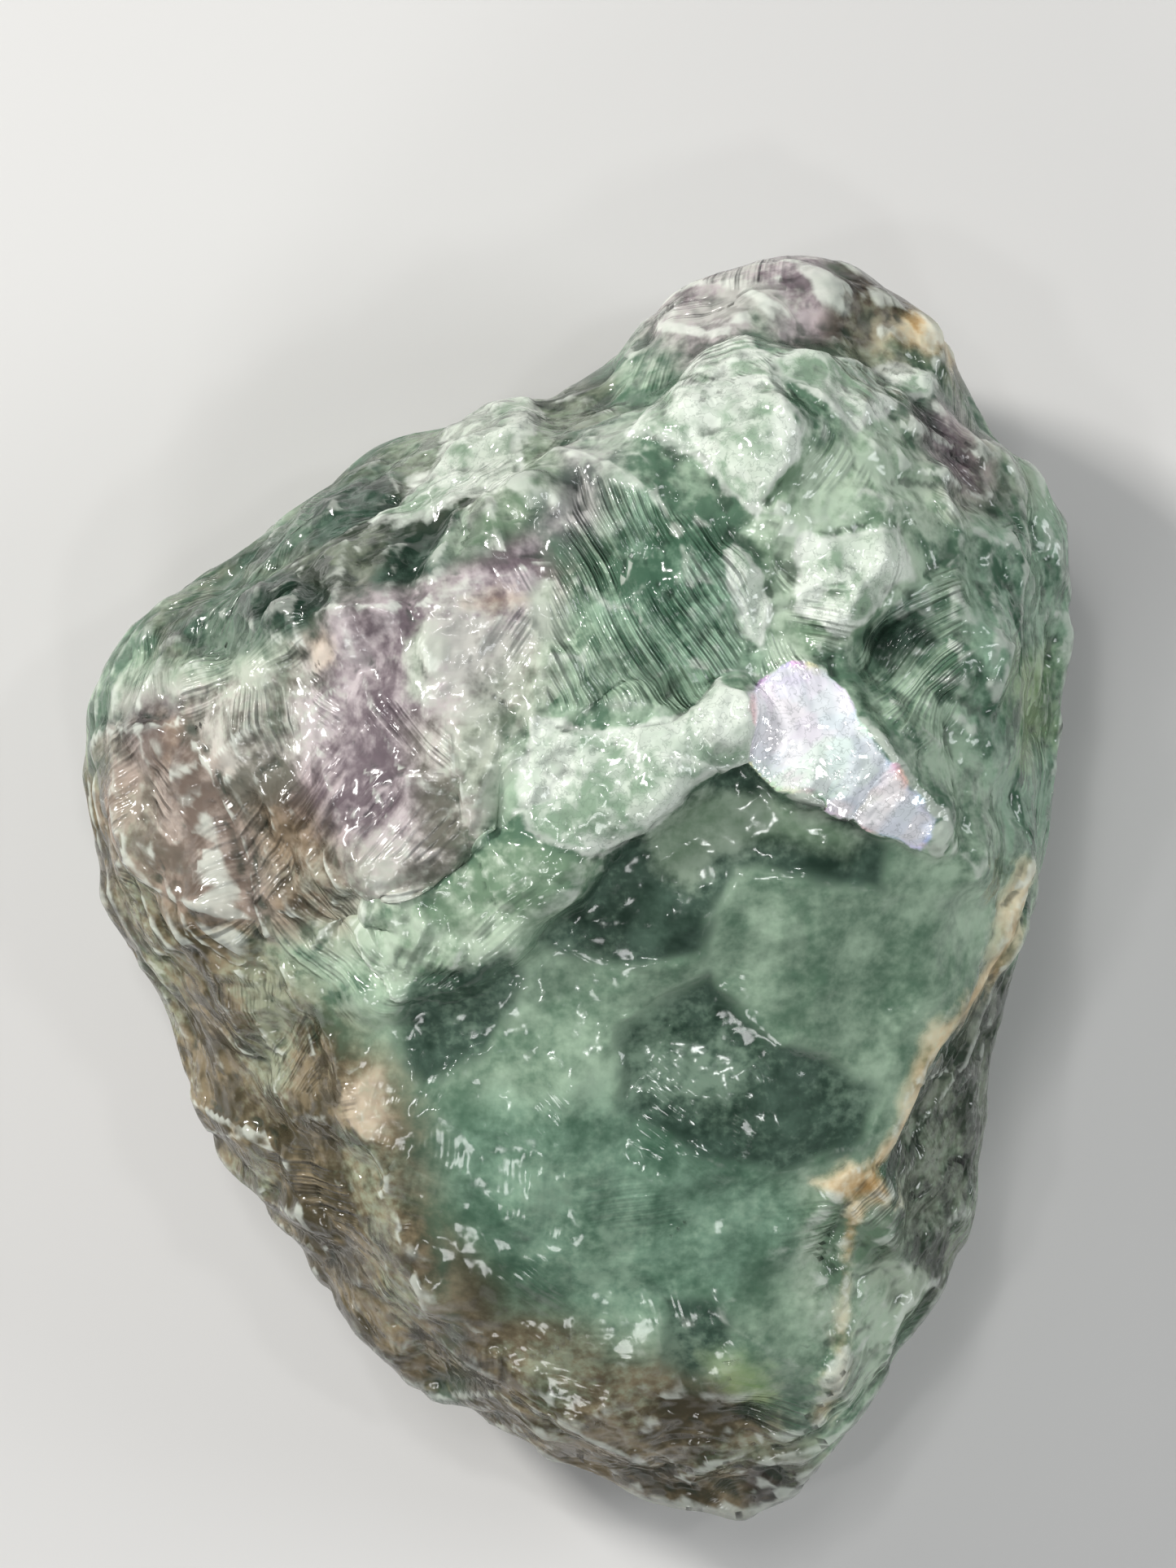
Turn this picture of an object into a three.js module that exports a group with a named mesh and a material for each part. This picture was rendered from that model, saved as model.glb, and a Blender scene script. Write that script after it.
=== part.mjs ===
// A rough lump of green and purple fluorite, one piece of natural stone lying on its flat back.
// Millimetres, +Z up, +Y towards the domed cap, +X towards the smooth green side.
// The origin is the middle of the stone's box, on the surface that it rests on.
import * as THREE from 'three';
import { mergeVertices } from 'three/addons/utils/BufferGeometryUtils.js';

// Driving dimensions of the whole lump
const LENGTH = 64; // narrow tip to domed cap, along Y
const WIDTH = 49.8; // left corner to smooth green side, along X
const THICKNESS = 30; // rest face to crown, along Z

// How the surface is sampled
const SPHERE_DETAIL = 20; // an icosahedron's edges are cut into one more than this
const GIRDLE_POLAR = THREE.MathUtils.degToRad(108); // share of the sphere that becomes the upper side

// The girdle is the widest line round the stone, where the upper and under sides meet.
const GIRDLE_MEAN = 10.5; // its height above the rest face
const GIRDLE_SWING = 2; // it is this much higher on the cap's side and lower on the tip's
const GIRDLE_HIGH_AT = THREE.MathUtils.degToRad(60);
const UPPER_RIM_POWER = 5; // a higher power keeps the faces flat for longer before they roll over the rim
const UNDER_RISE_POWER = 1.5; // a higher power lifts the under side off the rest face more gently

// Rounding of the ridges between two upper faces
const RIDGE_ROUND = 0.3;

// Broken chips of two sizes. Each is a shallow scoop round a seed, with a lean and a level of its own,
// and neighbouring scoops meet in sharp ridges.
const CHIPS = [
  { apart: 10, depth: 1.5, salt: 3 },
  { apart: 5, depth: 0.7, salt: 8 },
];
const CHIP_LEAN = 0.9; // how far a chip leans, as a share of its depth across one spacing
const CHIP_LEVEL = 0.35; // how far apart in height two chips can be, as a share of the depth
const CHIP_SIDE_SHARE = 0.4; // chips are this much shallower on the upright sides
const CHIPS_FROM = 4; // height above the rest face where the chips are whole

// The outline seen from above, anticlockwise from the smooth green side, as points of one smooth curve
const OUTLINE = [
  [24.9, 11.5], [24.6, 18.4], [23.5, 20.9], [21.4, 23.0], [20.1, 25.4], [18.6, 28.3], [15.5, 30.9],
  [11.3, 32.0], [8.0, 31.0], [5.0, 29.2], [1.6, 26.3], [-1.1, 24.6], [-2.6, 24.8], [-5.6, 23.3],
  [-9.2, 22.5], [-13.4, 19.8], [-17.1, 16.8], [-19.6, 15.1], [-22.3, 12.9], [-24.3, 10.4], [-24.9, 8.0],
  [-24.0, 2.0], [-22.8, -1.8], [-21.3, -3.6], [-19.2, -9.6], [-16.7, -14.1], [-12.6, -19.2],
  [-9.2, -23.4], [-5.0, -26.4], [0.5, -29.1], [4.4, -31.2], [8.0, -32.0], [11.2, -31.1], [12.8, -28.8],
  [15.8, -24.6], [18.3, -20.5], [20.3, -14.5], [21.7, -6.5], [22.7, -0.6], [23.6, 1.6], [24.3, 7.0],
];
const OUTLINE_SAMPLES = 720;

// Faces of the upper side. Each is a plane through a point, tilted down towards a compass bearing
// measured anticlockwise from +X. The lowest plane wins at every place, so they meet in ridges.
const UPPER_FACES = [
  { name: 'crown', at: [0, 12, 30], bearing: -60, tilt: 3 },
  { name: 'shoulder', at: [-8.4, 17.2, 27.5], bearing: 119, tilt: 57 },
  { name: 'left lobe', at: [-9, 8, 28.6], bearing: 182, tilt: 19 },
  { name: 'left wall', at: [-19.4, -4.5, 17.5], bearing: 200, tilt: 68 },
  { name: 'smoky flank', at: [-11, -9, 23], bearing: 206, tilt: 36 },
  { name: 'broad front', at: [3, 1, 28], bearing: -84, tilt: 19 },
  { name: 'rusty flank', at: [16.6, -11, 22.5], bearing: -20, tilt: 56 },
  { name: 'green side', at: [14, 8, 27.6], bearing: 2, tilt: 15 },
  { name: 'green wall', at: [21.8, 10, 22], bearing: 4, tilt: 66 },
  { name: 'purple corner', at: [17.6, 21, 24], bearing: 38, tilt: 42 },
  { name: 'plated top', at: [7, 22.5, 27.6], bearing: 78, tilt: 24 },
  { name: 'domed cap', at: [11, 28.6, 23.5], bearing: 80, tilt: 58 },
  { name: 'lower left rim', at: [-5, -24, 15.5], bearing: 238, tilt: 58 },
  { name: 'tip', at: [8, -29.5, 15], bearing: 275, tilt: 62 },
];

// Broken edges of the rest face: how far from the middle each one lies, and which way it looks.
// The under side climbs from these edges to the girdle.
const REST_EDGES = [
  { name: 'below the green side', bearing: 6, start: 17.5 },
  { name: 'below the cap', bearing: 62, start: 25 },
  { name: 'below the shoulder', bearing: 118, start: 16 },
  { name: 'below the left lobe', bearing: 172, start: 17 },
  { name: 'below the smoky flank', bearing: 218, start: 15.5 },
  { name: 'below the tip', bearing: 272, start: 23.5 },
  { name: 'below the rusty flank', bearing: 334, start: 16 },
];
const MOST_REST_SHARE = 0.86; // of the way from the middle to the outline

// Cleavage slabs and hollows of the upper side. A slab climbs from nothing at its root to its full
// rise at its lip, inside its outline. A negative rise is a hollow.
const SLABS = [
  {
    name: 'pale band', root: [-4, 6], lip: [1, 1.5], rise: 1.9,
    outline: [
      [-12.5, -2.5], [-6, -0.5], [-2.2, 3.5], [-2.4, 9], [3, 9.2], [8.4, 9],
      [6.9, 7], [1.3, 2.2], [-0.1, 0], [-2.6, -2.8], [-6, -4.2], [-11.3, -6],
    ],
  },
  {
    name: 'bright flake', root: [13, 12.5], lip: [12, 5], rise: 1.3,
    outline: [[8.6, 8], [10.6, 12], [13.2, 12], [18.2, 4], [17.3, 2.4], [12, 5.4], [9.6, 5.8]],
  },
  {
    name: 'pale plates', root: [7.5, 28.5], lip: [8.6, 20.5], rise: 1.8,
    outline: [[3, 23], [5, 27.5], [9.8, 27.5], [10.9, 21.7], [9.2, 19], [7.6, 20.6], [6.8, 22.1]],
  },
  {
    name: 'purple slab', root: [-22, 2], lip: [-16.2, 2.5], rise: 1.6,
    outline: [[-23, 6.5], [-19.4, 8.2], [-17.9, 6.8], [-16.4, 3.6], [-14.6, -2], [-18.7, -1], [-21, 1.5]],
  },
  {
    name: 'frosted block', root: [14, 19.5], lip: [14, 13], rise: 1.2,
    outline: [[10.8, 18.6], [17, 18.9], [17.4, 16.2], [15.6, 12.8], [13.4, 12.5], [11, 13.8]],
  },
  {
    name: 'cap block', root: [6, 29], lip: [13, 30], rise: 0.9,
    outline: [[6.5, 29.5], [9.4, 32], [13.3, 32], [12.8, 28.2], [9.4, 28.6]],
  },
  {
    name: 'stained lump', root: [16, -19], lip: [13, -15], rise: 0.9,
    outline: [[12.1, -14.8], [14, -13.7], [16.2, -14.3], [16.4, -16.4], [14, -19.5], [12.1, -17.8]],
  },
  {
    name: 'dark groove', root: [-9.6, 16], lip: [-6.5, 17.6], rise: -1.6,
    outline: [[-9.6, 16.1], [-8.4, 18.6], [-4.6, 19.6], [-2.4, 21.6], [-1.6, 20.4], [-4, 17.4], [-6.7, 15.7]],
  },
  {
    name: 'glassy scoop', root: [-20, 13], lip: [-14.5, 14.4], rise: -1.7,
    outline: [[-19.8, 13.2], [-17.1, 16.2], [-12.6, 16.2], [-11.6, 14.6], [-15.4, 12], [-19, 11.7]],
  },
  {
    name: 'left pit', root: [-10.5, 3], lip: [-9, -0.4], rise: -1.3,
    outline: [[-12, 1.5], [-9.6, 2.6], [-7.6, 0.6], [-8.4, -1.6], [-11.4, -1.2]],
  },
];
const SLAB_BEVEL = 0.9; // width of the sloping edge round a slab

const bearingVector = (degrees) => {
  const angle = THREE.MathUtils.degToRad(degrees);
  return new THREE.Vector2(Math.cos(angle), Math.sin(angle));
};
const slope = (degrees) => Math.tan(THREE.MathUtils.degToRad(degrees));

// Distance from the middle to the outline at an angle, read from the smooth curve through OUTLINE.
function outlineReach() {
  const corners = OUTLINE.map(([x, y]) => new THREE.Vector3(x, y, 0));
  const curve = new THREE.CatmullRomCurve3(corners, true, 'centripetal');
  const samples = curve.getPoints(OUTLINE_SAMPLES).slice(0, OUTLINE_SAMPLES).map((p) => ({
    angle: Math.atan2(p.y, p.x),
    reach: Math.hypot(p.x, p.y),
  }));
  samples.sort((a, b) => a.angle - b.angle);
  const last = samples[samples.length - 1];
  const wrapped = [{ angle: last.angle - 2 * Math.PI, reach: last.reach }, ...samples];
  wrapped.push({ angle: samples[0].angle + 2 * Math.PI, reach: samples[0].reach });
  return (angle) => {
    const after = wrapped.findIndex((s) => s.angle >= angle);
    const [a, b] = [wrapped[after - 1], wrapped[after]];
    const share = (angle - a.angle) / (b.angle - a.angle);
    return THREE.MathUtils.lerp(a.reach, b.reach, share);
  };
}

// The smallest of some heights, with the corner between two of them rounded.
function roundedLowest(heights, rounding) {
  const lowest = Math.min(...heights);
  const sum = heights.reduce((total, h) => total + Math.exp((lowest - h) / rounding), 0);
  return lowest - rounding * Math.log(sum);
}

// How far a place lies inside a closed outline, negative outside it.
function depthInside(outline, x, y) {
  let nearest = Infinity;
  let inside = false;
  outline.forEach(([ax, ay], i) => {
    const [bx, by] = outline[(i + 1) % outline.length];
    const along = ((x - ax) * (bx - ax) + (y - ay) * (by - ay)) / ((bx - ax) ** 2 + (by - ay) ** 2);
    const share = THREE.MathUtils.clamp(along, 0, 1);
    nearest = Math.min(nearest, Math.hypot(x - ax - share * (bx - ax), y - ay - share * (by - ay)));
    const crosses = ay > y !== by > y && x < ax + ((y - ay) / (by - ay)) * (bx - ax);
    inside = crosses ? !inside : inside;
  });
  return inside ? nearest : -nearest;
}

// A slab's own height at a place: nothing at its root, all of its rise at its lip.
function slabHeight({ outline, root, lip, rise }, x, y) {
  const run = new THREE.Vector2(lip[0] - root[0], lip[1] - root[1]);
  const along = ((x - root[0]) * run.x + (y - root[1]) * run.y) / run.lengthSq();
  const edge = THREE.MathUtils.smoothstep(depthInside(outline, x, y), -SLAB_BEVEL / 2, SLAB_BEVEL / 2);
  return rise * THREE.MathUtils.clamp(along, 0, 1) * edge;
}

// A number from 0 to 1 that looks random but is always the same for the same whole numbers.
function scatter(i, j, k, salt) {
  const mixed = Math.sin(i * 127.1 + j * 311.7 + k * 74.7 + salt * 53.3) * 43758.5453;
  return mixed - Math.floor(mixed);
}

// Height of one chip at a place measured from its seed, in spacings.
function chipHeight(away, cell, salt) {
  const lean = new THREE.Vector3(
    scatter(...cell, salt + 3) - 0.5,
    scatter(...cell, salt + 4) - 0.5,
    scatter(...cell, salt + 5) - 0.5,
  );
  return away.lengthSq() + CHIP_LEAN * lean.dot(away) + CHIP_LEVEL * scatter(...cell, salt + 6);
}

// The lowest chip of those seeded in the cells round a place.
function brokenHeight(x, y, z, { apart, depth, salt }) {
  const place = new THREE.Vector3(x, y, z).divideScalar(apart);
  let lowest = Infinity;
  for (let step = 0; step < 27; step += 1) {
    const cell = [
      Math.floor(place.x) + (step % 3) - 1,
      Math.floor(place.y) + (Math.floor(step / 3) % 3) - 1,
      Math.floor(place.z) + Math.floor(step / 9) - 1,
    ];
    const seed = new THREE.Vector3(
      cell[0] + scatter(...cell, salt),
      cell[1] + scatter(...cell, salt + 1),
      cell[2] + scatter(...cell, salt + 2),
    );
    lowest = Math.min(lowest, chipHeight(place.clone().sub(seed), cell, salt));
  }
  return lowest * depth;
}

const girdleHeight = (angle) => GIRDLE_MEAN + GIRDLE_SWING * Math.cos(angle - GIRDLE_HIGH_AT);

function upperHeight(x, y) {
  const planes = UPPER_FACES.map(({ at, bearing, tilt }) => {
    const fall = bearingVector(bearing).dot(new THREE.Vector2(x - at[0], y - at[1]));
    return at[2] - slope(tilt) * fall;
  });
  const slabs = SLABS.reduce((total, slab) => total + slabHeight(slab, x, y), 0);
  return roundedLowest(planes, RIDGE_ROUND) + slabs;
}

// Share of the way to the outline at which the rest face ends, at an angle.
function restShare(angle, outlineReachHere) {
  const ends = REST_EDGES.map(({ bearing, start }) => {
    const facing = Math.cos(angle - THREE.MathUtils.degToRad(bearing));
    return facing > 0 ? start / facing : Infinity;
  });
  return Math.min(MOST_REST_SHARE, Math.min(...ends) / outlineReachHere);
}

// Height of the under side as a share of the girdle's: flat on the rest face, then a quarter-round climb.
function underRise(share, rest) {
  const climb = Math.max(0, (share - rest) / (1 - rest));
  return 1 - Math.sqrt(1 - Math.min(1, climb ** UNDER_RISE_POWER));
}

// Where a direction from the stone's middle meets its surface.
function surfacePoint(direction, reachAt) {
  const polar = Math.acos(THREE.MathUtils.clamp(direction.z, -1, 1));
  const angle = Math.atan2(direction.y, direction.x);
  const isUpper = polar <= GIRDLE_POLAR;
  const turn = isUpper ? polar / GIRDLE_POLAR : (Math.PI - polar) / (Math.PI - GIRDLE_POLAR);
  const share = Math.sin((turn * Math.PI) / 2);
  const outline = reachAt(angle);
  const [x, y] = [share * outline * Math.cos(angle), share * outline * Math.sin(angle)];
  const girdle = girdleHeight(angle);
  const z = isUpper
    ? girdle + (upperHeight(x, y) - girdle) * Math.sqrt(1 - share ** UPPER_RIM_POWER)
    : girdle * underRise(share, restShare(angle, outline));
  return unevenPoint(x, y, z);
}

// The same point, moved in or out by the broken chips, which fade out towards the rest face.
function unevenPoint(x, y, z) {
  const outwards = new THREE.Vector3(x, y, z - GIRDLE_MEAN).normalize();
  const broken = CHIPS.reduce((total, chip) => total + brokenHeight(x, y, z, chip), 0);
  const facing = THREE.MathUtils.lerp(CHIP_SIDE_SHARE, 1, Math.abs(outwards.z));
  const amount = broken * facing * THREE.MathUtils.smoothstep(z, 0, CHIPS_FROM);
  return new THREE.Vector3(x, y, z).addScaledVector(outwards, amount);
}

// Scales and shifts a lump so that its box is exactly the driving dimensions, standing on z = 0.
function fitToSize(geometry) {
  geometry.computeBoundingBox();
  const { min, max } = geometry.boundingBox;
  const size = new THREE.Vector3().subVectors(max, min);
  geometry.translate(-(min.x + max.x) / 2, -(min.y + max.y) / 2, -min.z);
  geometry.scale(WIDTH / size.x, LENGTH / size.y, THICKNESS / size.z);
}

function stoneGeometry() {
  const sphere = new THREE.IcosahedronGeometry(1, SPHERE_DETAIL);
  sphere.deleteAttribute('normal');
  sphere.deleteAttribute('uv');
  const stone = mergeVertices(sphere, 1e-5);
  const reachAt = outlineReach();
  const position = stone.getAttribute('position');
  const direction = new THREE.Vector3();
  for (let i = 0; i < position.count; i += 1) {
    direction.fromBufferAttribute(position, i).normalize();
    const { x, y, z } = surfacePoint(direction, reachAt);
    position.setXYZ(i, x, y, z);
  }
  fitToSize(stone);
  stone.computeVertexNormals();
  return stone;
}

const fluoriteFinish = new THREE.MeshStandardMaterial({ color: 0x6e9279, roughness: 0.3, metalness: 0 });

const fluorite = new THREE.Mesh(stoneGeometry(), fluoriteFinish);
fluorite.name = 'fluorite';

const part = new THREE.Group();
part.name = 'rough_fluorite';
part.add(fluorite);

export default part;
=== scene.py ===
# %% [markdown]
# # A rough fluorite
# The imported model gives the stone's solid, its size and where it rests. This lesson dresses that
# solid: a fine skin with broken faces, ledges and pits, and one see-through finish whose colour
# zones follow the real stone. Everything below is in metres, in the solid's own frame.

from types import SimpleNamespace

import bpy
import numpy as np
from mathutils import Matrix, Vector


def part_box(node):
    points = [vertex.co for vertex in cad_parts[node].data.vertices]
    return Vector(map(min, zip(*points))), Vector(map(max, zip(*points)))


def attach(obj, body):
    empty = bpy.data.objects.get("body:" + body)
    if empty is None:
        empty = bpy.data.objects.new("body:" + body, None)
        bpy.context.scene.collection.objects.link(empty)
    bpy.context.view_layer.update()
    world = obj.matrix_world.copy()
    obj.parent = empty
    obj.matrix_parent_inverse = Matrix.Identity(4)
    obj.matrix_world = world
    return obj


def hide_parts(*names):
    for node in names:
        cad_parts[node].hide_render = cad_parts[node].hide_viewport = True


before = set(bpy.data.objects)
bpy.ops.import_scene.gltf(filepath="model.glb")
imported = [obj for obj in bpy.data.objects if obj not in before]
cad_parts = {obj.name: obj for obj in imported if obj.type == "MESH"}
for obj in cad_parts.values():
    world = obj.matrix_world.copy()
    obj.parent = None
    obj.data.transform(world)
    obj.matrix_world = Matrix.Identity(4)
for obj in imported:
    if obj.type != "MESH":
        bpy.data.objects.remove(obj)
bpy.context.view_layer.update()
STONE_NODE = "fluorite"
MM = 0.001

# %% [markdown]
# ## The camera
# The stone lies on its back, so a camera straight above it sees what the photograph saw. A long lens
# from a short arm's length away gives the same mild perspective. The photograph's own pixels are the
# handiest ruler for marks on the stone, so one function says at which pixel a point is seen.

# %% Camera above the stone
PHOTO_WIDE, PHOTO_HIGH = 1445, 1927
STONE_MIDDLE_PIXEL = np.array([702.5, 1095.0])
PIXELS_PER_MM = 24.16
OUTLINE_LEVEL = 10.5 * MM
CAMERA_HEIGHT = 240 * MM
SENSOR_LONG_SIDE = 36.0
NEAREST_SEEN = 10 * MM

photo_middle = np.array([PHOTO_WIDE, PHOTO_HIGH]) / 2
camera_xy = (photo_middle - STONE_MIDDLE_PIXEL) * (1, -1) / PIXELS_PER_MM * MM
focal_pixels = PIXELS_PER_MM / MM * (CAMERA_HEIGHT - OUTLINE_LEVEL)

camera = bpy.data.objects.new("camera", bpy.data.cameras.new("camera"))
camera.data.lens = focal_pixels / PHOTO_HIGH * SENSOR_LONG_SIDE
camera.data.sensor_width = SENSOR_LONG_SIDE
camera.data.clip_start = NEAREST_SEEN
camera.location = (*camera_xy, CAMERA_HEIGHT)
bpy.context.scene.collection.objects.link(camera)
bpy.context.scene.camera = camera


def photo_pixels(points):
    """The photograph's pixel at which each point is seen: its sideways distance from the camera,
    divided by its depth below the camera, times the focal length."""
    depth = CAMERA_HEIGHT - points[:, 2]
    sideways = (points[:, :2] - camera_xy) * (1, -1)
    return photo_middle + sideways * focal_pixels / depth[:, None]


print("lens", round(camera.data.lens, 1), "mm")

# %% [markdown]
# ## The floor
# A plain pale floor lies at the height that the stone rests on.

# %% Floor
FLOOR_SIDE = 3.0
FLOOR_COLOUR = (0.52, 0.515, 0.505, 1)
FLOOR_ROUGHNESS = 0.8


def floor_finish():
    """A plain dull paint."""
    finish = bpy.data.materials.new("floor")
    finish.use_nodes = True
    shader = finish.node_tree.nodes["Principled BSDF"]
    shader.inputs["Base Color"].default_value = FLOOR_COLOUR
    shader.inputs["Roughness"].default_value = FLOOR_ROUGHNESS
    return finish


half_floor = FLOOR_SIDE / 2
floor_corners = [(x * half_floor, y * half_floor, 0) for x, y in ((-1, -1), (1, -1), (1, 1), (-1, 1))]
floor_mesh = bpy.data.meshes.new("floor")
floor_mesh.from_pydata(floor_corners, [], [(0, 1, 2, 3)])
floor_mesh.materials.append(floor_finish())
floor = bpy.data.objects.new("floor", floor_mesh)
bpy.context.scene.collection.objects.link(floor)
print("floor", FLOOR_SIDE, "m wide")

# %% [markdown]
# ## The light
# A key lamp from one side shows the form, and wide lamps fill the shadows. A broken glassy surface
# throws small lamps back as glints, so four of them stand in a ring above the stone. The sky gives
# the same pale light from every side.

# %% Lamps and sky
WORLD_COLOUR = (0.9, 0.95, 1.0, 1)
WORLD_STRENGTH = 0.17
WHITE = (1, 1, 1)
LAMPS = {  # name: place in mm, side in mm, watts, colour
    "key": ((-270, 200, 240), 60, 1.75, (1, 0.98, 0.95)),
    "front": ((-70, 120, 420), 90, 0.3, WHITE),
    "side": ((330, 40, 200), 120, 0.45, (0.95, 0.98, 1)),
    "low": ((-120, -300, 240), 90, 0.3, WHITE),
}
SPARK_BEARINGS = np.radians((20, 110, 200, 290))
SPARK_OUT, SPARK_UP, SPARK_SIDE, SPARK_WATTS = 150, 330, 24, 0.1


def lamp(name, place_mm, side_mm, watts, colour=WHITE):
    """A square area lamp at a place, turned to the stone's heart."""
    light = bpy.data.lights.new(name, "AREA")
    light.size = side_mm * MM
    light.energy = watts
    light.color = colour
    holder = bpy.data.objects.new(name, light)
    holder.location = Vector(place_mm) * MM
    aim = Vector((0, 0, OUTLINE_LEVEL)) - holder.location
    holder.rotation_euler = aim.to_track_quat("-Z", "Y").to_euler()
    bpy.context.scene.collection.objects.link(holder)


def soft_sky():
    """The same pale light from every side."""
    world = bpy.data.worlds.new("sky")
    world.use_nodes = True
    background = world.node_tree.nodes["Background"]
    background.inputs["Color"].default_value = WORLD_COLOUR
    background.inputs["Strength"].default_value = WORLD_STRENGTH
    bpy.context.scene.world = world


soft_sky()
for lamp_name, lamp_values in LAMPS.items():
    lamp(lamp_name, *lamp_values)
for turn in SPARK_BEARINGS:
    spark_place = (SPARK_OUT * np.cos(turn), SPARK_OUT * np.sin(turn), SPARK_UP)
    lamp("spark", spark_place, SPARK_SIDE, SPARK_WATTS)
bpy.context.scene.view_settings.view_transform = "Standard"
print(len(LAMPS) + len(SPARK_BEARINGS), "lamps")

# %% [markdown]
# ## Chance that repeats
# Broken stone needs noise. Rolling noise blends random values on a lattice. All of it comes from
# hashed whole numbers, as whole arrays, so a run always gives the same stone.

# %% Hashed numbers and rolling noise
HASH_PRIMES = np.array([73856093, 19349663, 83492791], dtype=np.uint32)
SALT_PRIME = 2654435761
MIXING = ((16, 0x7FEB352D), (15, 0x846CA68B))  # bits shifted, then the prime to multiply by


def hashed(whole, salt):
    """A number from 0 to 1 for each row of whole numbers: multiply by primes, mix the bits, scale."""
    with np.errstate(over="ignore"):
        mixed = (whole.astype(np.int64).astype(np.uint32) * HASH_PRIMES).sum(-1, dtype=np.uint32)
        mixed = mixed + np.uint32(salt * SALT_PRIME % 2**32)
        for shift, prime in MIXING:
            mixed = (mixed ^ (mixed >> np.uint32(shift))) * np.uint32(prime)
    return (mixed ^ (mixed >> np.uint32(16))) / 2.0**32


def hashed_vector(whole, salt):
    """Three such numbers for each row, from three neighbouring salts."""
    return np.stack([hashed(whole, salt + axis) for axis in range(3)], -1)


def rolling(points, apart, salt=0):
    """Value noise from -1 to 1: random values on a lattice, blended by smooth weights."""
    place = points / apart
    base = np.floor(place)
    part = place - base
    part = part * part * (3 - 2 * part)
    total = np.zeros(len(points))
    for corner in np.ndindex(2, 2, 2):
        weight = np.where(corner, part, 1 - part).prod(-1)
        total += weight * hashed(base + corner, salt)
    return total * 2 - 1


def rough(points, apart, octaves=4, salt=0):
    """Rolling noise added to itself at half the spacing and half the height, again and again."""
    return sum(rolling(points, apart / 2**n, salt + n) / 2**n for n in range(octaves))


def smooth_step(values, low, high):
    """0 below low, 1 above high, an S-curve between."""
    share = np.clip((values - low) / (high - low), 0, 1)
    return share * share * (3 - 2 * share)


print("two hashed numbers:", hashed(np.arange(6).reshape(2, 3), 1).round(3))

# %% [markdown]
# ## Scoops
# A struck crystal loses shallow scoops. Seeds are scattered through space, each with a bowl round it,
# and a point takes the lowest bowl. So space falls into cells, and bowls meet in sharp ridges.

# %% Scoops round scattered seeds


def scoops(points, apart, lean=0.0, level=0.0, salt=0):
    """The lowest of the bowls seeded round each point, the cell of its seed, and the gap to the next
    bowl, which is 0 on the border of two cells. A bowl is the squared distance to the seed, in
    spacings, tipped by a random lean and set at a random level."""
    place = points / apart
    base = np.floor(place)
    lowest = np.full(len(points), np.inf)
    second = lowest.copy()
    owner = np.zeros_like(place)
    for step in np.ndindex(3, 3, 3):
        cell = base + step - 1
        away = place - cell - hashed_vector(cell, salt)
        tip = hashed_vector(cell, salt + 3) - 0.5
        bowl = (away * (away + lean * tip)).sum(-1) + level * hashed(cell, salt + 6)
        closer = bowl < lowest
        second = np.minimum(second, np.maximum(bowl, lowest))
        lowest = np.minimum(bowl, lowest)
        owner[closer] = cell[closer]
    return lowest, owner, second - lowest


print("bowl, cell and gap at the origin:", scoops(np.zeros((1, 3)), MM))

# %% [markdown]
# ## The skin's grid
# The solid has about nine thousand flat triangles. The skin is far finer: the six faces of a cube are
# each a grid of two parameters. A cube has no poles, so no squares crowd together as on a globe.

# %% Cube grid
GRID_STEPS = 128


def cube_grid(steps):
    """Six square grids that share their edges. Each whole-number point of the cube's surface is one
    vertex, and each grid square is one face that looks outwards."""
    i, j = (a.ravel() for a in np.meshgrid(np.arange(steps), np.arange(steps), indexing="ij"))
    square = [(i, j), (i + 1, j), (i + 1, j + 1), (i, j + 1)]
    faces = []
    for axis in range(3):
        for side in (0, steps):
            corners = np.zeros((len(i), 4, 3), dtype=int)
            for n, (a, b) in enumerate(square if side else square[::-1]):
                corners[:, n, axis] = side
                corners[:, n, (axis + 1) % 3] = a
                corners[:, n, (axis + 2) % 3] = b
            faces.append(corners)
    every = np.concatenate(faces).reshape(-1, 3)
    points, index = np.unique(every, axis=0, return_inverse=True)
    return points / steps * 2 - 1, index.reshape(-1, 4)


cube_points, quads = cube_grid(GRID_STEPS)
print(len(cube_points), "points;", len(quads), "faces")

# %% [markdown]
# ## Shrinking the skin onto the solid
# The cube is blown up to a ball round the stone, and a Shrinkwrap modifier draws the ball in until it
# lies on the solid. Averaging every point with its neighbours then takes the triangles' corners away
# and leaves the stone's own form.

# %% Skin on the solid
BALL_MARGIN = 1.6
ROUNDING_PASSES = 7


def new_mesh(name, points, quads):
    """A mesh object from arrays of points and four-cornered faces."""
    mesh = bpy.data.meshes.new(name)
    mesh.from_pydata(points.tolist(), [], quads.tolist())
    mesh.validate()
    made = bpy.data.objects.new(name, mesh)
    bpy.context.scene.collection.objects.link(made)
    return made


def shrunk_onto(points, quads, node):
    """Where each point lands when the ball's skin is drawn inwards onto a solid."""
    ball = new_mesh("ball", points, quads)
    wrap = ball.modifiers.new("onto the solid", "SHRINKWRAP")
    wrap.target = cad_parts[node]
    wrap.wrap_method = "PROJECT"
    wrap.use_negative_direction = True
    wrap.use_positive_direction = False
    landed = ball.evaluated_get(bpy.context.evaluated_depsgraph_get()).to_mesh()
    places = np.zeros(len(points) * 3, np.float32)
    landed.vertices.foreach_get("co", places)
    bpy.data.objects.remove(ball)
    return places.reshape(-1, 3).astype(float)


def neighbours(quads):
    """Both ends of every edge, each edge listed once in each direction."""
    ends = np.concatenate([np.stack([quads[:, n], quads[:, (n + 1) % 4]], -1) for n in range(4)])
    return ends[:, 0], ends[:, 1]


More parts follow.
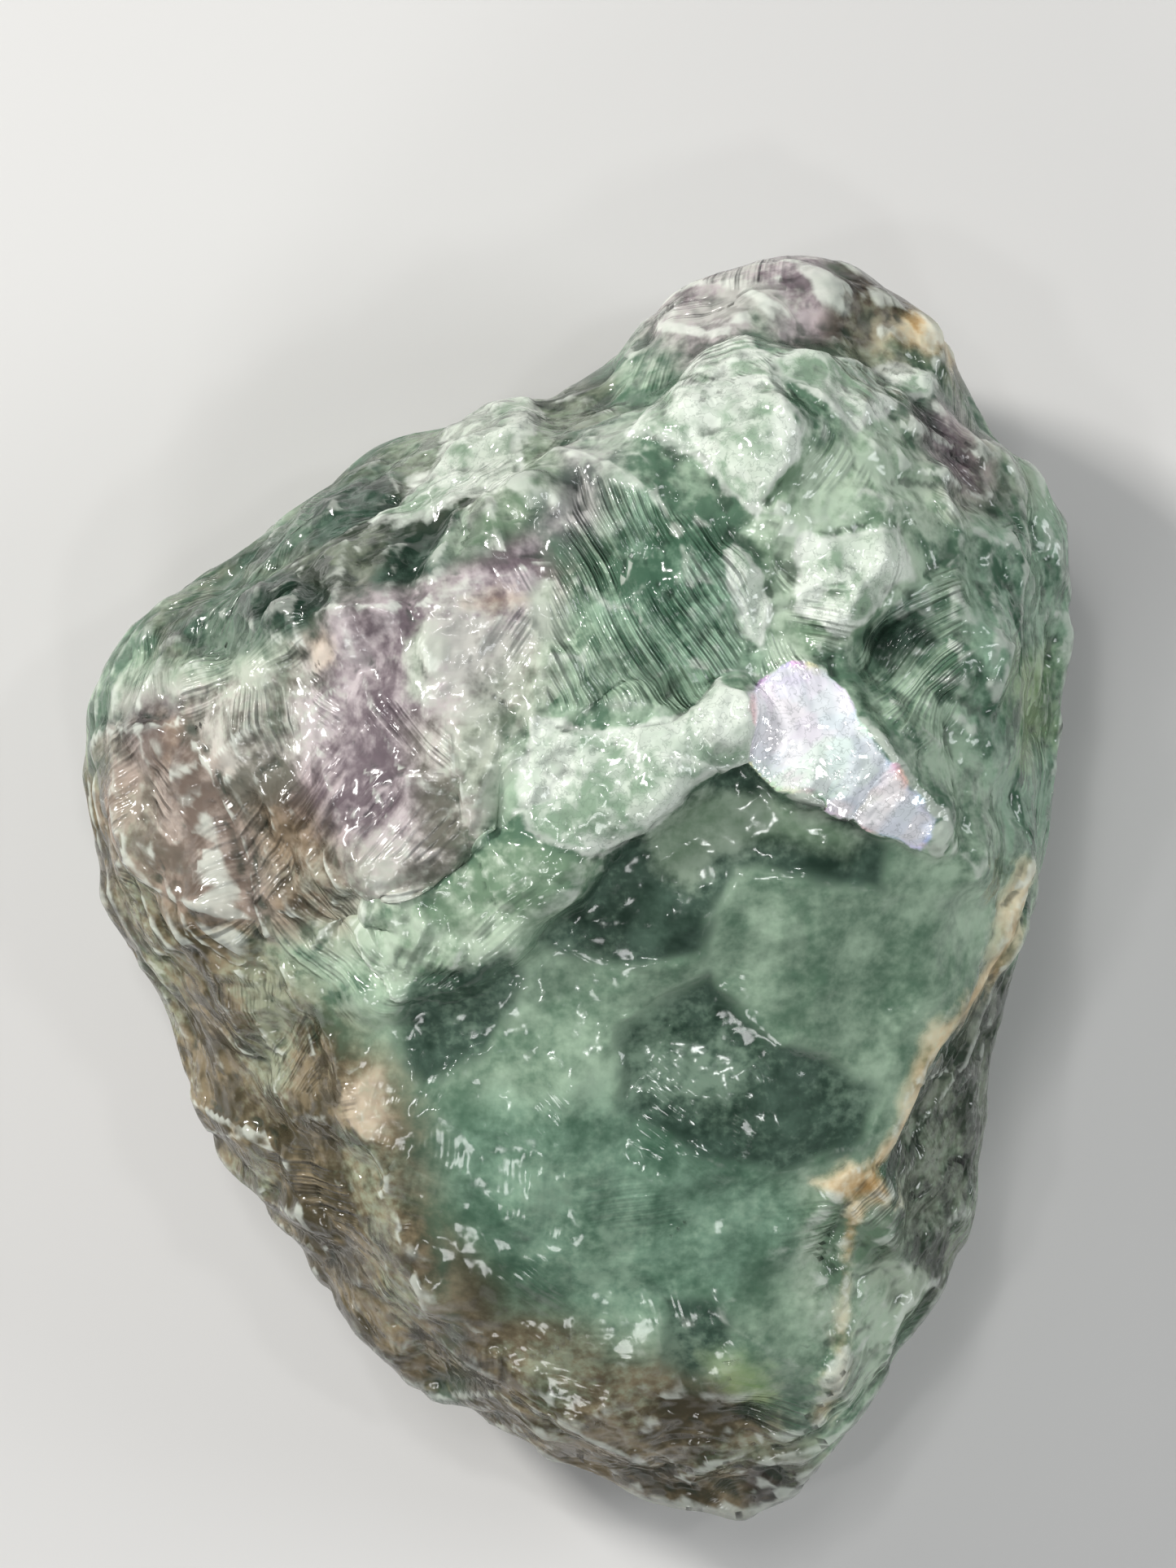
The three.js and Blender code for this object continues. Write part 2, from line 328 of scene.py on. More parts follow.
def added_up(index, values, count):
    """The sum of the values at each index, one column at a time."""
    return np.stack([np.bincount(index, weights=column, minlength=count) for column in values.T], -1)


def rounded(points, quads, passes):
    """Each pass moves every point halfway to the mean of its neighbours."""
    start, end = neighbours(quads)
    count = np.bincount(start, minlength=len(points))
    for _ in range(passes):
        points = (points + added_up(start, points[end], len(points)) / count[:, None]) / 2
    return points


def outward(points, quads):
    """Unit normals: the cross product of each face's diagonals, added up at its corners."""
    corner = points[quads]
    face = np.cross(corner[:, 2] - corner[:, 0], corner[:, 3] - corner[:, 1])
    total = added_up(quads.ravel(), np.repeat(face, 4, axis=0), len(points))
    return total / np.linalg.norm(total, axis=1, keepdims=True)


low, high = (np.array(corner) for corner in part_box(STONE_NODE))
heart, half_size = (low + high) / 2, (high - low) / 2
# Tangent spacing undoes the crowding of a cube's corners on a ball
spread = np.tan(cube_points * np.pi / 4)
direction = spread / np.linalg.norm(spread, axis=1, keepdims=True)
ball_points = heart + direction * half_size.max() * BALL_MARGIN
form = rounded(shrunk_onto(ball_points, quads, STONE_NODE), quads, ROUNDING_PASSES)
normals = outward(form, quads)
print("form from", (form.min(0) / MM).round(1), "to", (form.max(0) / MM).round(1), "mm")

# %% [markdown]
# ## Zones
# The stone grew in bands: clear deep green, milky green, mauve and smoke, with rust in one crack and
# pale crushed veins. Each zone is a closed outline on the photograph, drawn in its pixels.
# Where a zone runs over the rim, its outline goes on past the stone.

# %% Zone outlines
# Two of the pale outlines, at the cap and on the ledge, are painted highlights where the stone glints.
ZONES = {
    "pale": {
        "crushed vein": [
            (655, 890), (700, 900), (770, 905), (860, 880), (905, 880), (890, 925), (860, 935),
            (790, 1005), (735, 1040), (690, 1035), (650, 1020),
        ],
        "top plates": [
            (780, 540), (800, 480), (850, 430), (920, 418), (945, 470), (965, 560), (925, 632),
            (890, 600), (870, 560),
        ],
        "shoulder crystals": [
            (460, 655), (500, 600), (540, 575), (560, 535), (650, 497), (665, 520), (640, 600),
            (540, 650),
        ],
        "upright splinter": [(890, 680), (905, 660), (930, 700), (945, 740), (935, 790), (920, 780)],
        # Pale paint here is a painted highlight where the cap glints.
        "painted cap glint": [(1050, 450), (1100, 440), (1150, 462), (1140, 488), (1080, 480)],
        "vein end": [(860, 870), (885, 849), (913, 880), (900, 925), (870, 920)],
        "frosted face": [(985, 670), (1095, 655), (1105, 700), (1070, 765), (1030, 775), (985, 745)],
        # Pale paint here is a painted highlight where the ledge glints.
        "painted glint ledge": [(945, 460), (1010, 430), (1060, 440), (1090, 500), (1030, 540), (960, 490)],
    },
    "milky": {
        "left fleck": [(508, 790), (530, 768), (540, 800), (532, 862), (512, 852)],
        "right fleck": [(655, 740), (675, 714), (688, 760), (682, 840), (660, 822)],
        "below the vein": [
            (650, 1020), (735, 1040), (700, 1095), (640, 1160), (560, 1195), (470, 1215), (410, 1190),
            (470, 1140), (560, 1090),
        ],
        "veil": [
            (790, 1010), (850, 965), (930, 970), (1000, 990), (1060, 1030), (1040, 1055), (960, 1035),
            (880, 1050), (850, 1090), (805, 1065),
        ],
        "green step": [
            (540, 690), (600, 640), (660, 580), (685, 560), (692, 590), (640, 652), (580, 692),
        ],
        "beside the rust": [
            (985, 1440), (1080, 1430), (1110, 1500), (1130, 1600), (1090, 1700), (1030, 1720),
            (990, 1600), (985, 1520),
        ],
        "frosted block": [(965, 650), (1110, 640), (1120, 700), (1080, 780), (1030, 790), (970, 760)],
        "green side": [(900, 560), (1100, 540), (1150, 640), (960, 860), (930, 700)],
    },
    "deep": {
        "under the flake": [
            (735, 1045), (790, 1005), (865, 930), (900, 930), (960, 965), (1000, 962), (1040, 1000),
            (1085, 1040), (1080, 1090), (1000, 1080), (900, 1060), (870, 1120), (860, 1170),
            (760, 1190), (660, 1160), (700, 1100),
        ],
        "left cube": [(500, 1210), (620, 1165), (640, 1200), (600, 1290), (520, 1330), (490, 1280)],
        "middle cube": [
            (760, 1260), (870, 1200), (960, 1290), (1010, 1300), (1080, 1340), (1060, 1400),
            (960, 1440), (860, 1420), (760, 1360),
        ],
        "shoulder groove": [(470, 720), (490, 660), (570, 640), (600, 670), (540, 715)],
        "glassy scoop": [(215, 775), (290, 715), (400, 715), (415, 750), (330, 800), (240, 810)],
        "glassy dome": [(290, 695), (400, 610), (480, 575), (490, 620), (440, 660), (330, 700)],
        "pocket": [(1060, 780), (1130, 730), (1150, 790), (1100, 800)],
        "low dark": [(820, 1600), (880, 1590), (900, 1650), (850, 1700), (810, 1660)],
    },
    "teal": {
        "upper": [
            (770, 610), (900, 640), (900, 700), (930, 800), (860, 890), (800, 830), (720, 760),
            (760, 680),
        ],
        "right rim": [(1200, 640), (1310, 640), (1310, 1050), (1240, 1060), (1195, 900)],
        "front": [
            (560, 1360), (760, 1340), (960, 1420), (1000, 1500), (900, 1600), (760, 1640), (620, 1600),
            (560, 1480),
        ],
    },
    "purple": {
        "lobe": [
            (420, 760), (545, 705), (640, 650), (680, 640), (670, 760), (600, 860), (520, 900),
            (520, 1030), (440, 1040), (370, 960), (370, 860),
        ],
        "ridge": [(640, 650), (700, 560), (770, 520), (770, 580), (700, 680)],
        "corner": [(1110, 480), (1190, 500), (1220, 620), (1140, 630), (1110, 560)],
        "cap": [(760, 420), (880, 290), (975, 250), (1040, 290), (1025, 405), (930, 395), (850, 430)],
        "eye": [(150, 880), (200, 845), (235, 870), (215, 920), (180, 915)],
    },
    "mauve": {
        "slab": [
            (120, 900), (230, 880), (262, 930), (300, 1000), (345, 1140), (250, 1100), (180, 1050),
        ],
    },
    "ash": {
        "lobe": [
            (140, 860), (205, 835), (300, 805), (420, 757), (545, 705), (640, 650), (700, 700),
            (680, 800), (650, 900), (560, 1080), (440, 1150), (345, 1140), (250, 1100),
        ],
        "cap": [(770, 415), (880, 290), (975, 250), (1040, 290), (1025, 405), (930, 395), (850, 425)],
    },
    "smoky": {
        "flank": [
            (50, 920), (180, 1010), (340, 1140), (430, 1240), (500, 1330), (540, 1480), (600, 1700),
            (440, 1700), (250, 1470), (110, 1210),
        ],
        "lobe hollow": [(310, 980), (400, 960), (450, 1040), (440, 1150), (350, 1140)],
        "cap brown": [
            (1018, 330), (1050, 270), (1160, 310), (1230, 440), (1180, 475), (1090, 435), (1015, 410),
        ],
        "corner": [(1115, 500), (1190, 520), (1230, 625), (1150, 630)],
        "left rim": [
            (50, 930), (180, 960), (215, 1100), (250, 1240), (300, 1360), (330, 1460), (130, 1320),
        ],
        "low rim": [(540, 1480), (760, 1640), (900, 1700), (1000, 1780), (900, 1910), (560, 1790)],
    },
    "olive": {
        "shoulder": [
            (205, 835), (300, 805), (420, 757), (545, 705), (640, 650), (690, 580), (735, 520),
            (745, 455), (650, 480), (560, 520), (470, 550), (380, 610), (290, 680), (180, 770),
        ],
        "rusty flank": [
            (1210, 1190), (1260, 1180), (1210, 1480), (1130, 1640), (1060, 1560), (1090, 1420),
            (1150, 1290),
        ],
    },
    "rust": {
        "block": [(1000, 1450), (1040, 1430), (1090, 1440), (1095, 1480), (1030, 1475)],
        "cap": [(1085, 400), (1120, 385), (1150, 420), (1165, 445), (1110, 425)],
    },
    "cream": {
        "eye rim": [(205, 890), (235, 865), (238, 900), (215, 935)],
        "lobe spot": [(385, 790), (410, 785), (415, 815), (390, 825)],
        "ridge spot": [(575, 745), (610, 725), (640, 740), (610, 765)],
        "low splinter": [(445, 1330), (470, 1318), (482, 1370), (460, 1392), (440, 1370)],
    },
    "flake": {
        "mirror": [
            (915, 850), (965, 820), (1015, 822), (1045, 890), (1100, 965), (1140, 1000), (1120, 1035),
            (1040, 1000), (990, 960), (960, 965), (935, 950), (910, 920),
        ],
    },
    "black": {
        "tip": [(915, 1815), (975, 1775), (1010, 1800), (985, 1840), (930, 1855)],
        "cap": [(1030, 330), (1085, 345), (1115, 385), (1070, 412), (1022, 398)],
        "eye": [(170, 880), (200, 855), (222, 868), (205, 905), (180, 905)],
    },
    "worn": {
        "front": [
            (420, 1240), (560, 1200), (700, 1100), (800, 1020), (900, 930), (960, 965), (1120, 1035),
            (1200, 1100), (1200, 1190), (1100, 1400), (1000, 1500), (1000, 1700), (900, 1740),
            (700, 1700), (560, 1600), (500, 1450),
        ],
    },
    "combed": {
        "middle": [(700, 560), (930, 640), (940, 800), (870, 890), (760, 900), (650, 890), (660, 700)],
        "right": [(1030, 800), (1190, 640), (1200, 900), (1120, 960), (1050, 880)],
    },
    "lime": {
        # This lighter lime partly paints the glow of light through the thin right rim.
        "rim": [(1240, 800), (1290, 800), (1295, 900), (1250, 940)],
        "low": [(870, 1670), (915, 1660), (950, 1700), (945, 1735), (900, 1710)],
    },
}
RUST_CRACK = [
    (1240, 1060), (1215, 1110), (1200, 1190), (1150, 1260), (1125, 1310), (1100, 1400), (1060, 1450),
    (1050, 1520), (1040, 1600), (1020, 1680), (1000, 1740),
]
print({kind: len(outlines) for kind, outlines in ZONES.items()}, "outlines")

# %% [markdown]
# ## Depth inside a zone
# A point's depth inside an outline, in millimetres, says more than inside or outside: the relief and
# the finish can each draw a zone's edge as sharp or as soft as it needs.

# %% Depth of every point in every kind of zone
RUST_CRACK_HALF_WIDTH = 0.35
DEEPEST = 4.0
FACING_DOWN, FACING_UP = -0.1, 0.15
WORN_EDGE = 1.0


def line_distance(pixels, line, closed):
    """Distance in pixels from every pixel to the nearest of a line's stretches."""
    nearest = np.full(len(pixels), np.inf)
    for a, b in zip(line, line[1:] + line[:1] if closed else line[1:]):
        start, run = np.array(a, float), np.array(b, float) - a
        share = np.clip((pixels - start) @ run / (run @ run), 0, 1)
        nearest = np.minimum(nearest, np.linalg.norm(pixels - start - share[:, None] * run, axis=1))
    return nearest


def inside(pixels, outline):
    """True where a line drawn to the right crosses the outline an odd number of times."""
    odd = np.zeros(len(pixels), bool)
    for (ax, ay), (bx, by) in zip(outline, outline[1:] + outline[:1]):
        if ay != by:
            straddles = (ay > pixels[:, 1]) != (by > pixels[:, 1])
            odd ^= straddles & (pixels[:, 0] < ax + (pixels[:, 1] - ay) / (by - ay) * (bx - ax))
    return odd


def depth_in(pixels, outline):
    """Millimetres inside an outline, negative outside it."""
    distance = line_distance(pixels, outline, True) / PIXELS_PER_MM
    return np.where(inside(pixels, outline), distance, -distance)


def zone_depth(kind, pixels):
    """Depth inside the nearest zone of a kind, limited to a few millimetres each way."""
    depth = np.max([depth_in(pixels, outline) for outline in ZONES[kind].values()], axis=0)
    if kind == "rust":
        from_crack = line_distance(pixels, RUST_CRACK, False) / PIXELS_PER_MM
        depth = np.maximum(depth, RUST_CRACK_HALF_WIDTH - from_crack)
    return np.clip(depth, -DEEPEST, DEEPEST)


pixels = photo_pixels(form)
facing_up = smooth_step(normals[:, 2], FACING_DOWN, FACING_UP)
depths = {kind: zone_depth(kind, pixels) for kind in ZONES}
worn_front = smooth_step(depths["worn"], -WORN_EDGE, WORN_EDGE)
print("points in each zone:", {kind: int((depth > 0).sum()) for kind, depth in depths.items()})

# %% [markdown]
# ## Broken planes and cleavage steps
# Fluorite breaks along flat planes and in shallow scoops. Two bowls of the same curve, one taken from
# the other, leave a flat plane, so scoops of one scatter less those of another give planes that meet
# in ridges and creases. Cleavage adds flights of thin steps along the crystal's four facings.

# %% Planes and steps
PLANE_LEAN, PLANE_LEVEL = 1.6, 0.5
OTHER_SCATTER = 500
CLEAVAGE_FACINGS = np.array(
    [[0.72, 0.42, 0.55], [0.30, -0.78, 0.55], [-0.80, 0.22, 0.55], [0.1, 0.3, 0.95]]
)
STEP_DROP_FROM = 0.72
PLANES = {  # spacing, height, salt
    "wide": (9 * MM, 1.5 * MM, 21),
    "narrow": (4 * MM, 0.8 * MM, 31),
    "crushed": (2.4 * MM, 0.55 * MM, 91),
}
STEPS = (6 * MM, 2.6 * MM, 0.6 * MM, 51)  # cells' spacing, steps' spacing, height, salt


def broken_planes(apart, height, salt):
    """Scoops of one scatter of seeds less those of another, times a height."""
    first, other = (
        scoops(form, apart, PLANE_LEAN, PLANE_LEVEL, chosen)[0] for chosen in (salt, salt + OTHER_SCATTER)
    )
    return (first - other) * height


def cleavage_steps(apart, spacing, height, salt):
    """Inside each cell, a saw-tooth along one of the cleavage facings: a slow rise, then a drop."""
    cell = scoops(form, apart, salt=salt)[1]
    chosen = (hashed(cell, salt + 11) * len(CLEAVAGE_FACINGS)).astype(int)
    turn = (form * CLEAVAGE_FACINGS[chosen]).sum(-1) / spacing + hashed(cell, salt + 12)
    part = turn - np.floor(turn)
    return height * hashed(cell, salt + 13) * (part - smooth_step(part, STEP_DROP_FROM, 1.0))


broken = {name: broken_planes(*values) for name, values in PLANES.items()}
broken["steps"] = cleavage_steps(*STEPS)
for name, heights in broken.items():
    print(name, "from", round(heights.min() / MM, 2), "to", round(heights.max() / MM, 2), "mm")

# %% [markdown]
# ## Relief
# Pale slabs stand proud with a crisp lip, the broad front is worn smooth, and the crushed veins are
# rough. The sides stay calm, because their outline is the solid's, and the rest face stays flat.

# %% Relief along the normals
SLAB_LIPS = {"pale": 0.3 * MM, "flake": 0.3 * MM, "mauve": 0.4 * MM, "rust": 0.2 * MM, "deep": -0.15 * MM}
LIP_HALF_WIDTH = 0.16
LIP_WOBBLE = 0.35
WOBBLE_NOISE, GRAIN_NOISE = (1.6 * MM, 2, 5), (1.2 * MM, 3, 41)  # spacing, octaves, salt
WORN_LOSS = {"wide": 0.5, "narrow": 0.75, "steps": 0.85, "grain": 0.5}
FLAKE_CALM_EDGE = 0.4
CRUSHED_FROM, CRUSHED_FULL = -0.5, 1
SIDE_FROM, SIDE_FULL = 0.1, 0.6
REST_LEVEL = 0.6 * MM
ROUNDING_LOSS = 0.25 * MM
GRAIN_HEIGHT = 0.05 * MM
CALMEST_SIDE = 0.35
STEPS_BEHIND = 0.3


def slab_lips():
    """Each slab's rise times an S-curve over its wobbling edge."""
    wobble = rough(form, *WOBBLE_NOISE) * LIP_WOBBLE
    return sum(
        rise * smooth_step(depths[kind] + wobble, -LIP_HALF_WIDTH, LIP_HALF_WIDTH)
        for kind, rise in SLAB_LIPS.items()
    )


def softened(values):
    """Numbers on the grid after one rounding pass, so that steps don't follow the grid's squares."""
    return rounded(values[:, None], quads, 1)[:, 0]


def relief():
    """How far each point moves outwards: lips and steps, broken planes and grain, less where worn."""
    calm_flake = smooth_step(depths["flake"], -FLAKE_CALM_EDGE, FLAKE_CALM_EDGE)
    worn = np.maximum(worn_front, calm_flake) * facing_up
    left = {name: 1 - loss * worn for name, loss in WORN_LOSS.items()}
    in_crushed = np.maximum(depths["combed"], depths["pale"])
    crushed = smooth_step(in_crushed, CRUSHED_FROM, CRUSHED_FULL) * facing_up
    stepped = broken["steps"] * (STEPS_BEHIND + (1 - STEPS_BEHIND) * facing_up) + broken["crushed"] * crushed
    crisp = slab_lips() * facing_up + stepped * left["steps"]
    planes = broken["wide"] * left["wide"] + broken["narrow"] * left["narrow"]
    sides = CALMEST_SIDE + (1 - CALMEST_SIDE) * smooth_step(np.abs(normals[:, 2]), SIDE_FROM, SIDE_FULL)
    grain = rough(form, *GRAIN_NOISE) * GRAIN_HEIGHT * left["grain"]
    return softened(crisp) + planes * sides + grain + ROUNDING_LOSS


lift = relief() * smooth_step(form[:, 2], REST_LEVEL, 4 * REST_LEVEL)
skin = form + normals * lift[:, None]
skin[:, 2] = np.maximum(skin[:, 2], 0)
stone = new_mesh("fluorite_stone", skin, quads)
stone.data.polygons.foreach_set("use_smooth", np.ones(len(quads), bool))
print("relief from", round(lift.min() / MM, 2), "to", round(lift.max() / MM, 2), "mm")

# %% [markdown]
# ## Zones on the mesh
# The finish reads the depths as attributes of the mesh's points. The outlines only speak for the side
# that the photograph saw. On the far side the same finishes appear in patches of rolling noise, and
# noise breaks the line between the two sides, so the stone is whole from all round.

# %% Zone attributes
PATCHY_BEHIND = {  # depth in mm that is added to the patches: the higher, the wider they are
    "deep": -0.6, "purple": -0.9, "pale": -1.9, "milky": -0.9, "teal": -0.2,
    "smoky": -0.6, "ash": -1.2, "olive": -0.3, "worn": -0.5,
}
PATCH_APART = 10 * MM
PATCH_DEPTH = 3.0
PATCH_SALT, PATCH_SALT_STEP = 100, 7
SIDES_NOISE = (6 * MM, 3, 61)  # spacing, octaves, salt
SIDES_WANDER = 0.5
SEEN_FROM, SEEN_FULL = -0.5, 0.0


def store(name, values):
    """Keeps one number, or one vector, at every point of the stone."""
    kind, slot = ("FLOAT", "value") if values.ndim == 1 else ("FLOAT_VECTOR", "vector")
    attribute = stone.data.attributes.new(name, kind, "POINT")
    attribute.data.foreach_set(slot, values.astype(np.float32).ravel())


def behind(kind, order):
    """Depth inside noise patches, for the sides that the photograph doesn't show."""
    if kind not in PATCHY_BEHIND:
        return np.full(len(form), -DEEPEST)
    patches = rough(form, PATCH_APART, 3, PATCH_SALT + PATCH_SALT_STEP * order)
    return patches * PATCH_DEPTH + PATCHY_BEHIND[kind]


sides_noise = rough(form, *SIDES_NOISE) * SIDES_WANDER
seen = smooth_step(normals[:, 2] + sides_noise, SEEN_FROM, SEEN_FULL)
for order, (kind, depth) in enumerate(depths.items()):
    store(kind, depth * seen + behind(kind, order) * (1 - seen))
print("share that the photograph saw:", seen.mean().round(2))

# %% [markdown]
# ## Small facets, ridges and cracks
# Glints need facets smaller than the mesh's squares. Each cell of a scatter gets one lean, and the
# finish tips the surface by it. Ridges catch light and cracks hold shade, so how far each point
# stands proud of its neighbours is kept too, and the finish paints that light and shade in colour.

# %% Facet and ridge attributes
FLAKE_SMOOTHNESS = 1.5
FLAKE_SMOOTH_EDGE = 0.2
FACETS_WORN_LOSS = 0.6
FACETS = ((2.6 * MM, 0.26, 301), (1.1 * MM, 0.18, 331))  # spacing, lean, salt
RIDGE_PASSES = 2


def facet_tilt(apart, lean, salt):
    """A random vector for every cell, the same over the whole cell."""
    cell = scoops(form, apart, salt=salt)[1]
    return (hashed_vector(cell, salt + 21) * 2 - 1) * lean


on_flake = smooth_step(depths["flake"], -FLAKE_SMOOTH_EDGE, FLAKE_SMOOTH_EDGE)
smoothness = np.maximum(worn_front, FLAKE_SMOOTHNESS * on_flake) * facing_up
tilt = sum(facet_tilt(*facet) for facet in FACETS)
store("tilt", tilt * (1 - FACETS_WORN_LOSS * smoothness[:, None]))
ridges = ((skin - rounded(skin, quads, RIDGE_PASSES)) * normals).sum(-1) / MM
store("ridge", ridges)
print("ridges and cracks, mm:", np.percentile(ridges, (2, 50, 98)).round(3))

# %% [markdown]
# ## Cleavage streaks
# Every broken block shows fine streaks along its own cleavage. A streak is noise along one line, so
# each point keeps how far along its block's line it lies, and how high its streaks are. They fade out
# at a block's border, where the line changes. In the combed zones one bearing runs through.

# %% Streak attributes
BLOCK_APART, BLOCK_LEAN, BLOCK_LEVEL, BLOCK_SALT = 4.5 * MM, 1.2, 0.4, 401
BLOCK_STREAK_HEIGHT, COMB_STREAK_HEIGHT = 0.55, 0.9
BLOCK_SHIFT = 100
BLOCK_PATCHES, COMB_PATCHES = (7 * MM, 2, 441), (4 * MM, 2, 461)  # spacing, octaves, salt
COMB_BEND = (5 * MM, 451)
BORDER_FADE, COMB_FADE = (0.16, 0.3), (0.35, 0.8)
STREAKS_WORN_LOSS = 0.85
COMB_EDGE = 0.3
COMB_SPLIT_PIXEL = 980
COMB_LEFT, COMB_RIGHT = np.radians(-62), np.radians(38)


def block_streaks():
    """Place along the block's random line, shifted for each block, and the streaks' height."""
    _, block, border = scoops(form, BLOCK_APART, BLOCK_LEAN, BLOCK_LEVEL, BLOCK_SALT)
    line = hashed_vector(block, 421) * 2 - 1
    line /= np.linalg.norm(line, axis=1, keepdims=True)
    along = (form * line).sum(-1) / MM + hashed(block, 431) * BLOCK_SHIFT
    height = BLOCK_STREAK_HEIGHT * smooth_step(rough(form, *BLOCK_PATCHES), -0.6, 0.1)
    return along, height * smooth_step(border, *BORDER_FADE) * (1 - STREAKS_WORN_LOSS * smoothness)


def comb_streaks():
    """Place across the comb's bearing, bent by rolling noise, and the streaks' height."""
    bearing = np.where(pixels[:, 0] < COMB_SPLIT_PIXEL, COMB_LEFT, COMB_RIGHT)
    across = form[:, 1] * np.cos(bearing) - form[:, 0] * np.sin(bearing)
    height = COMB_STREAK_HEIGHT * smooth_step(rough(form, *COMB_PATCHES), -0.9, 0.0)
    return across / MM + rolling(form, *COMB_BEND), height


comb_depth = depths["combed"] * facing_up - COMB_EDGE
streak, streak_height = np.where(comb_depth > 0, comb_streaks(), block_streaks())
streak_height = streak_height * smooth_step(np.abs(comb_depth), *COMB_FADE)
store("streak", streak)
store("streak_height", streak_height)
print("share with streaks:", (streak_height > 0.1).mean().round(2))

# %% [markdown]
# ## Writing shader maths as sums
# Shader nodes are easier to read as sums. A wire wraps one node's output: adding, taking away and
# multiplying wires adds Math nodes. Every other node comes from one method of the bench.

# %% Wires and bench


class Wire:
    """A node's output that can be used in a sum."""

    def __init__(self, bench, socket):
        self.bench, self.socket = bench, socket

    def _with(self, operation, first, second):
        return self.bench.node("ShaderNodeMath", {"operation": operation}, {0: first, 1: second})

    def __add__(self, other):
        return self._with("ADD", self, other)

    def __radd__(self, other):
        return self._with("ADD", other, self)

    def __sub__(self, other):
        return self._with("SUBTRACT", self, other)

    def __rsub__(self, other):
        return self._with("SUBTRACT", other, self)

    def __mul__(self, other):
        return self._with("MULTIPLY", self, other)

    def __rmul__(self, other):
        return self._with("MULTIPLY", other, self)


NOISE_ROUGHNESS = 0.6


class Bench:
    """Makes the nodes of one material."""

    def __init__(self, material):
        self.tree = material.node_tree

    def node(self, kind, settings=None, sockets=None, output=0):
        """Adds a node, sets its settings, then fills or links its sockets. Returns one output, or
        nothing for a node that has none."""
        made = self.tree.nodes.new(kind)
        for name, value in (settings or {}).items():
            setattr(made, name, value)
        for name, value in (sockets or {}).items():
            if isinstance(value, Wire):
                self.tree.links.new(value.socket, made.inputs[name])
            else:
                made.inputs[name].default_value = value
        return Wire(self, made.outputs[output]) if made.outputs else None

    def mix(self, share, first, second):
        """One colour turning into another."""
        return self.node("ShaderNodeMix", {"data_type": "RGBA"}, {0: share, 6: first, 7: second}, 2)

    def between(self, value, low, high):
        """0 below low, 1 above high, an S-curve between."""
        settings = {"interpolation_type": "SMOOTHSTEP"}
        sockets = {"Value": value, "From Min": low, "From Max": high}
        return self.node("ShaderNodeMapRange", settings, sockets)

    def vector(self, operation, *parts):
        """A sum on vectors."""
        return self.node("ShaderNodeVectorMath", {"operation": operation}, dict(enumerate(parts)))

    def away(self, value, level):
        """How far a value is from a level, whichever way: a sharp crease where it crosses."""
        return self.node("ShaderNodeMath", {"operation": "ABSOLUTE"}, {0: value - level})

    def attribute(self, name, output="Fac"):
        """What a point of the mesh keeps under a name."""
        return self.node("ShaderNodeAttribute", {"attribute_name": name}, output=output)

    def noise(self, place, apart_mm, detail):
        """Noise from 0 to 1 in space, with its lumps a number of millimetres apart."""
        sockets = {"Vector": place, "Scale": 1 / (apart_mm * MM)}
        sockets |= {"Detail": detail, "Roughness": NOISE_ROUGHNESS}
        return self.node("ShaderNodeTexNoise", {}, sockets)


def colour(code):
    """A linear colour from a six-digit sRGB code."""
    parts = np.array([int(code[n : n + 2], 16) for n in (0, 2, 4)]) / 255
    linear = np.where(parts <= 0.04045, parts / 12.92, ((parts + 0.055) / 1.055) ** 2.4)
    return (*linear.tolist(), 1.0)


print("mid grey in linear light:", round(colour("808080")[0], 3))

# %% [markdown]
# ## Patterns that the finish shares
# Three sizes of noise, the small facets and the streaks run through everything. Together they make
# the mottled tone, and they make the zones' edges wander. The worn front is mottled less.

# %% Shared patterns
BROAD_NOISE, MIDDLE_NOISE, FINE_NOISE = (7, 1.0), (2.4, 2.0), (0.5, 2.0)  # mm apart, detail
STREAKS_PER_MM, STREAK_DETAIL, STREAK_ROUGHNESS = 1.6, 2.0, 0.65
MOTTLE_SHARES = {"broad": 1.2, "middle": 1.5, "facets": 0.8, "fine": 0.7, "streaks": 1.8}
WANDER_SHARES = {"middle": 2.4, "facets": 1.2, "fine": 0.8}
DARKEST_TONE, LIGHTEST_TONE = 0.17, 0.83
WORN_CALM = 0.4
CRACKLE_WIDTH = 0.035
PATCHY_FROM, PATCHY_FULL, PATCHY_GRAIN = 0.7, 0.95, 0.5


def streak_lines(bench):
    """Noise along each block's line, centred on 0, times the streaks' height."""
    sockets = {"W": bench.attribute("streak"), "Scale": STREAKS_PER_MM}
    sockets |= {"Detail": STREAK_DETAIL, "Roughness": STREAK_ROUGHNESS}
    lines = bench.node("ShaderNodeTexNoise", {"noise_dimensions": "1D"}, sockets)
    return (lines - 0.5) * bench.attribute("streak_height")


def blend(sources, shares):
    """The sum of the named sources, each times its share."""
    return sum(sources[name] * share for name, share in shares.items())


